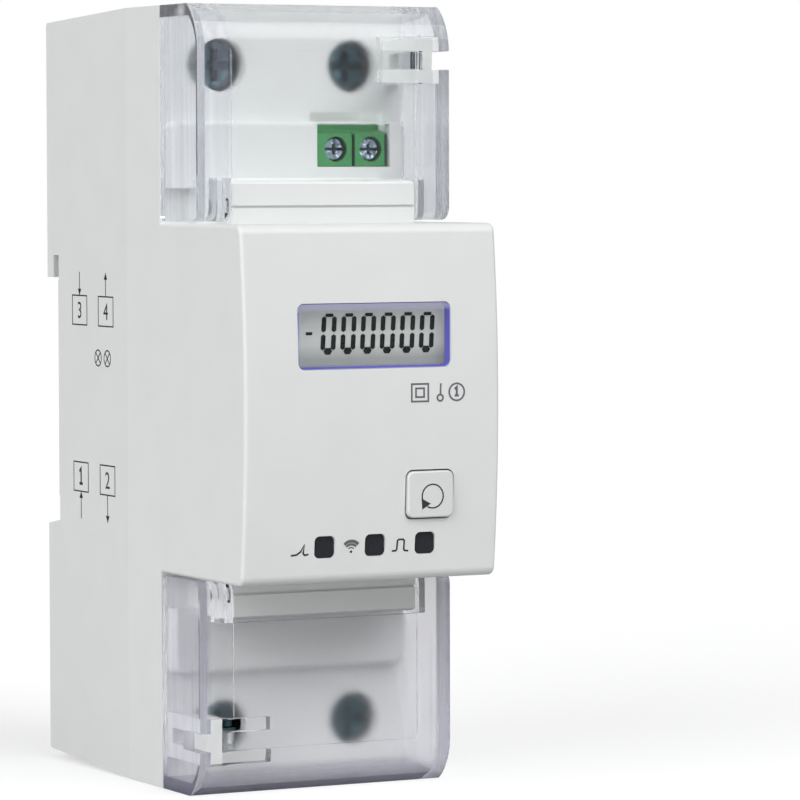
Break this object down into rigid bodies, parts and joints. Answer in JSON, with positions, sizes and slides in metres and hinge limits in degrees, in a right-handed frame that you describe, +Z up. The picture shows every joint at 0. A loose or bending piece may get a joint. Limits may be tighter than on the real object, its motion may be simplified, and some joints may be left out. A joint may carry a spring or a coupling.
{
  "type": "rail-mounted energy monitor",
  "caption": "Rail-mounted energy monitor with a bowed display front, push button and indicator windows, hinged clear terminal covers, caged screw terminals and a sprung rail clip.",
  "frame": {"origin": "centre of the flat seat that rests on the rail's front face", "axes": "+X across the unit to the right seen from the front, +Y back towards the rail, +Z up"},
  "size_m": [0.036, 0.0617, 0.1008],
  "materials": {
    "housing": "satin",
    "clear_cover": "clear, polished",
    "window": "clear, polished",
    "display": "liquid crystal glass",
    "light_guide": "diffuse",
    "frame": "satin",
    "board": "lacquered",
    "button": "satin",
    "dark_window": "polished",
    "diode": "clear",
    "switch": "matt",
    "pin_metal": "gilt",
    "tinned_copper": "tinned",
    "resistance_alloy": "dull",
    "plated_steel": "zinc plated",
    "block_green": "satin",
    "relay_plastic": "matt",
    "core_tape": "taped",
    "sleeve": "satin",
    "blue_disc": "dipped",
    "chip": "matt",
    "black_plastic": "satin",
    "spring_steel": "bright"
  },
  "bodies": {
    "housing": {"rear_housing": "housing", "front_housing": "housing", "display_window": "window", "display_glass": "display", "display_pins": "pin_metal", "light_guide": "light_guide", "display_frame": "frame", "display_board": "board", "indicator_lenses": "dark_window", "indicator_diodes": "diode", "switch_body": "switch", "link_pins": "pin_metal", "link_strip": "black_plastic", "main_board": "board", "output_block": "block_green", "output_contacts": "pin_metal", "neutral_link": "tinned_copper", "line_in_bar": "tinned_copper", "shunt_plate": "resistance_alloy", "relay_in_bar": "tinned_copper", "line_out_bar": "tinned_copper", "relay_case": "relay_plastic", "relay_blades": "tinned_copper", "relay_pins": "pin_metal", "transformer": "core_tape", "capacitors": "sleeve", "varistor": "blue_disc", "rectifier": "chip", "meter_chip": "chip", "optocoupler": "chip", "radio_board": "board", "radio_shield": "plated_steel", "clip_spring": "spring_steel"},
    "upper_cover": {"upper_terminal_cover": "clear_cover"},
    "lower_cover": {"lower_terminal_cover": "clear_cover"},
    "button": {"front_button": "button"},
    "plunger": {"switch_plunger": "button"},
    "clip": {"rail_clip": "black_plastic"},
    "main_screw_1": {"terminal_screw_1": "plated_steel"},
    "main_cage_1": {"terminal_cage_1": "plated_steel"},
    "main_screw_2": {"terminal_screw_2": "plated_steel"},
    "main_cage_2": {"terminal_cage_2": "plated_steel"},
    "main_screw_3": {"terminal_screw_3": "plated_steel"},
    "main_cage_3": {"terminal_cage_3": "plated_steel"},
    "main_screw_4": {"terminal_screw_4": "plated_steel"},
    "main_cage_4": {"terminal_cage_4": "plated_steel"},
    "small_screw_1": {"output_screw_1": "plated_steel"},
    "small_clamp_1": {"output_clamp_1": "plated_steel"},
    "small_screw_2": {"output_screw_2": "plated_steel"},
    "small_clamp_2": {"output_clamp_2": "plated_steel"}
  },
  "joints": [
    {"name": "upper_cover_hinge", "type": "hinge", "parent": "housing", "child": "upper_cover", "pos_m": [0, -0.0425, 0.0248], "axis": [1, 0, 0], "range_deg": [0, 90]},
    {"name": "lower_cover_hinge", "type": "hinge", "parent": "housing", "child": "lower_cover", "pos_m": [0, -0.0425, -0.0248], "axis": [-1, 0, 0], "range_deg": [0, 90]},
    {"name": "button_press", "type": "slide", "parent": "housing", "child": "button", "axis": [0, 1, 0], "range_m": [0, 0.0005], "stiffness_N_per_m": 2000, "springref_m": -0.0002},
    {"name": "plunger_press", "type": "slide", "parent": "housing", "child": "plunger", "axis": [0, 1, 0], "range_m": [0, 0.0005]},
    {"name": "clip_slide", "type": "slide", "parent": "housing", "child": "clip", "axis": [0, 0, -1], "range_m": [0, 0.0034], "stiffness_N_per_m": 1500, "springref_m": -0.001, "deforming": ["clip_spring"]},
    {"name": "main_screw_1_turn", "type": "hinge", "parent": "housing", "child": "main_screw_1", "pos_m": [-0.0095, -0.029, -0.0429], "axis": [0, 1, 0], "range_deg": [0, 2475.01]},
    {"name": "main_cage_1_lift", "type": "slide", "parent": "housing", "child": "main_cage_1", "axis": [0, -1, 0], "range_m": [0, 0.0055]},
    {"name": "main_screw_2_turn", "type": "hinge", "parent": "housing", "child": "main_screw_2", "pos_m": [0.0095, -0.029, -0.0429], "axis": [0, 1, 0], "range_deg": [0, 2475.01]},
    {"name": "main_cage_2_lift", "type": "slide", "parent": "housing", "child": "main_cage_2", "axis": [0, -1, 0], "range_m": [0, 0.0055]},
    {"name": "main_screw_3_turn", "type": "hinge", "parent": "housing", "child": "main_screw_3", "pos_m": [-0.0095, -0.029, 0.0429], "axis": [0, 1, 0], "range_deg": [0, 2475.01]},
    {"name": "main_cage_3_lift", "type": "slide", "parent": "housing", "child": "main_cage_3", "axis": [0, -1, 0], "range_m": [0, 0.0055]},
    {"name": "main_screw_4_turn", "type": "hinge", "parent": "housing", "child": "main_screw_4", "pos_m": [0.0095, -0.029, 0.0429], "axis": [0, 1, 0], "range_deg": [0, 2475.01]},
    {"name": "main_cage_4_lift", "type": "slide", "parent": "housing", "child": "main_cage_4", "axis": [0, -1, 0], "range_m": [0, 0.0055]},
    {"name": "small_screw_1_turn", "type": "hinge", "parent": "housing", "child": "small_screw_1", "pos_m": [0.00611, -0.034, 0.032], "axis": [0, 1, 0], "range_deg": [0, 1620.01]},
    {"name": "small_clamp_1_lift", "type": "slide", "parent": "housing", "child": "small_clamp_1", "axis": [0, -1, 0], "range_m": [0, 0.0018]},
    {"name": "small_screw_2_turn", "type": "hinge", "parent": "housing", "child": "small_screw_2", "pos_m": [0.01119, -0.034, 0.032], "axis": [0, 1, 0], "range_deg": [0, 1620.01]},
    {"name": "small_clamp_2_lift", "type": "slide", "parent": "housing", "child": "small_clamp_2", "axis": [0, -1, 0], "range_m": [0, 0.0018]}
  ],
  "couplings": [
    {"joint": "plunger_press", "follows": "button_press", "ratio": 1},
    {"joint": "main_screw_1_turn", "follows": "main_cage_1_lift", "rad_per_m": 7854},
    {"joint": "main_screw_2_turn", "follows": "main_cage_2_lift", "rad_per_m": 7854},
    {"joint": "main_screw_3_turn", "follows": "main_cage_3_lift", "rad_per_m": 7854},
    {"joint": "main_screw_4_turn", "follows": "main_cage_4_lift", "rad_per_m": 7854},
    {"joint": "small_screw_1_turn", "follows": "small_clamp_1_lift", "rad_per_m": 15708},
    {"joint": "small_screw_2_turn", "follows": "small_clamp_2_lift", "rad_per_m": 15708}
  ]
}
